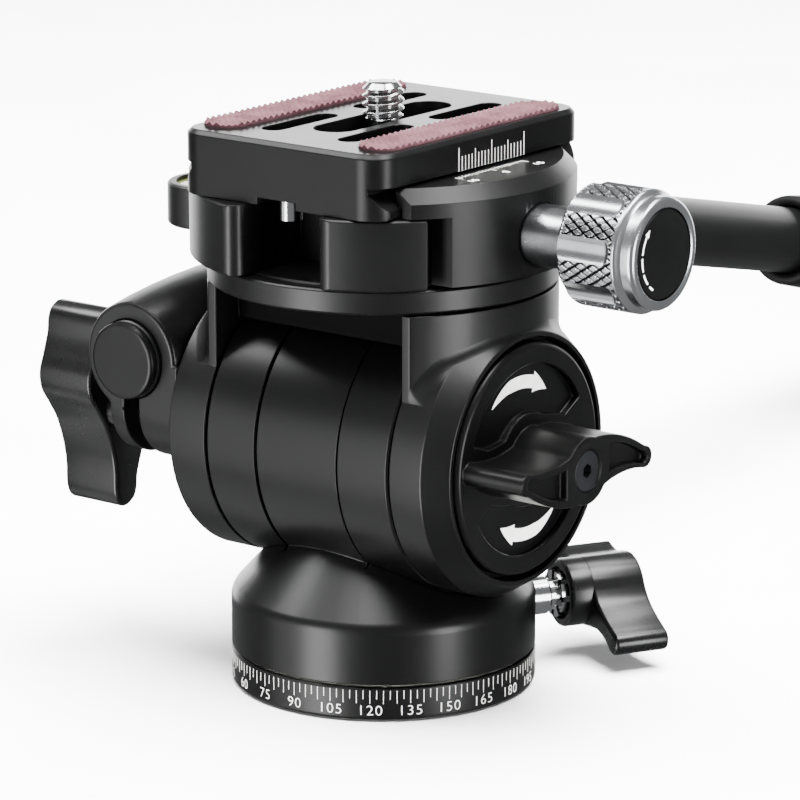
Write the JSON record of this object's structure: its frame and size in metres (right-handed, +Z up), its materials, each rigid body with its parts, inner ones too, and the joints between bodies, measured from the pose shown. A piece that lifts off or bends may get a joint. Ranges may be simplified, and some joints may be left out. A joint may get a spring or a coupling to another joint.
{
  "type": "fluid video head",
  "caption": "Compact fluid pan-and-tilt tripod head with a screw-knob quick-release clamp, camera plate, wing-lever locks, bubble level and a bent pan bar with a rubber grip.",
  "frame": {"origin": "centre of the tripod thread on the flat base face", "axes": "+Z up along the pan axis, +X along the tilt axis towards the tilt lock, +Y to the operator along the pan bar"},
  "size_m": [0.1094, 0.2917, 0.0931],
  "materials": {
    "black_anodised": "satin black anodised, bright chamfers",
    "stainless": "turned stainless steel",
    "bronze": "plain bearing bronze",
    "slip_polymer": "natural slip polymer",
    "silver_aluminium": "satin silver anodised",
    "black_moulded": "fine matt black",
    "gloss_black": "semi-gloss black",
    "mauve_rubber": "soft mauve rubber",
    "grip_rubber": "matt black rubber",
    "vial": "clear acrylic with yellow-green fluid"
  },
  "bodies": {
    "base": {"index_ring": "black_anodised", "thread_bush": "stainless", "pan_spindle": "stainless", "base_screws": "stainless", "thrust_washer": "slip_polymer", "pan_damping_disc": "slip_polymer", "pan_nut": "stainless", "pan_spring_washer": "stainless"},
    "pan": {"pan_housing": "black_anodised", "pan_bush": "bronze", "drum_cap_left": "black_anodised", "drum_cap_right": "black_anodised", "tilt_bushes": "bronze", "damper_stators": "stainless", "drum_screws": "stainless"},
    "pan_lock": {"pan_lock_lever": "gloss_black", "pan_lock_insert": "stainless", "pan_lock_stud": "stainless"},
    "pan_brake": {"pan_brake_shoe": "bronze"},
    "tilt": {"tilt_yoke": "black_anodised", "tilt_axle": "stainless", "damper_rotors": "stainless", "axle_bolt": "stainless", "platform_disc": "black_anodised", "platform_screws": "stainless", "clamp_body": "black_anodised", "clamp_screws": "stainless", "level_vial": "vial", "jaw_pins": "stainless", "bar_socket": "black_anodised", "socket_screws": "stainless", "ear_nut": "bronze"},
    "tilt_lock": {"tilt_lock_knob": "black_moulded", "tilt_lock_nut": "bronze", "tilt_lock_screw": "stainless"},
    "tilt_brake": {"tilt_pressure_ring": "stainless", "tilt_lining": "slip_polymer"},
    "jaw": {"clamp_jaw": "black_anodised"},
    "clamp_knob": {"clamp_knob": "silver_aluminium", "clamp_knob_disc": "black_moulded", "clamp_stud": "stainless", "stud_clip": "stainless"},
    "plate": {"quick_plate": "black_anodised", "plate_pad_left": "mauve_rubber", "plate_pad_right": "mauve_rubber", "plate_stop_screws": "stainless"},
    "screw_carrier": {"screw_clip": "stainless"},
    "camera_screw": {"camera_screw": "stainless"},
    "bar": {"bar_tube": "black_anodised", "bar_front_plug": "black_moulded", "bar_grip": "grip_rubber", "grip_end_plug": "black_moulded"},
    "bar_wing": {"bar_wing": "gloss_black", "bar_wing_stud": "stainless"}
  },
  "joints": [
    {"name": "pan_turn", "type": "hinge", "parent": "base", "child": "pan", "pos_m": [0, 0, 0.01], "axis": [0, 0, 1], "continuous": true},
    {"name": "tilt_turn", "type": "hinge", "parent": "pan", "child": "tilt", "pos_m": [0, 0, 0.03885], "axis": [1, 0, 0], "range_deg": [-60, 90]},
    {"name": "pan_lock_turn", "type": "hinge", "parent": "pan", "child": "pan_lock", "pos_m": [0.015, 0.02598, 0.0095], "axis": [0.5, 0.866, 0], "range_deg": [0, 120]},
    {"name": "pan_brake_slide", "type": "slide", "parent": "pan", "child": "pan_brake", "axis": [0.5, 0.866, 0], "range_m": [0, 0.000266]},
    {"name": "tilt_lock_turn", "type": "hinge", "parent": "tilt", "child": "tilt_lock", "pos_m": [0.03, 0, 0.03885], "axis": [1, 0, 0], "range_deg": [0, 144]},
    {"name": "tilt_brake_slide", "type": "slide", "parent": "tilt", "child": "tilt_brake", "axis": [1, 0, 0], "range_m": [0, 0.0004]},
    {"name": "jaw_slide", "type": "slide", "parent": "tilt", "child": "jaw", "axis": [1, 0, 0], "range_m": [0, 0.0045]},
    {"name": "clamp_knob_turn", "type": "hinge", "parent": "jaw", "child": "clamp_knob", "pos_m": [0.04, 0, 0.0735], "axis": [1, 0, 0], "range_deg": [0, 1620]},
    {"name": "plate_slide", "type": "slide", "parent": "tilt", "child": "plate", "axis": [0, 1, 0], "range_m": [-0.007, 0.007]},
    {"name": "screw_slide", "type": "slide", "parent": "plate", "child": "screw_carrier", "axis": [0, 1, 0], "range_m": [-0.011, 0.011]},
    {"name": "camera_screw_turn", "type": "hinge", "parent": "screw_carrier", "child": "camera_screw", "pos_m": [0, 0, 0.085], "axis": [0, 0, 1], "continuous": true},
    {"name": "bar_turn", "type": "hinge", "parent": "tilt", "child": "bar", "pos_m": [-0.034, 0, 0.0489], "axis": [0, 1, 0], "continuous": true},
    {"name": "bar_wing_turn", "type": "hinge", "parent": "tilt", "child": "bar_wing", "pos_m": [-0.045, -0.008, 0.0367], "axis": [-1, 0, 0], "range_deg": [0, 540]}
  ],
  "couplings": [
    {"joint": "pan_lock_turn", "follows": "pan_brake_slide", "rad_per_m": 7854},
    {"joint": "tilt_lock_turn", "follows": "tilt_brake_slide", "rad_per_m": 6283},
    {"joint": "clamp_knob_turn", "follows": "jaw_slide", "rad_per_m": 6283}
  ]
}
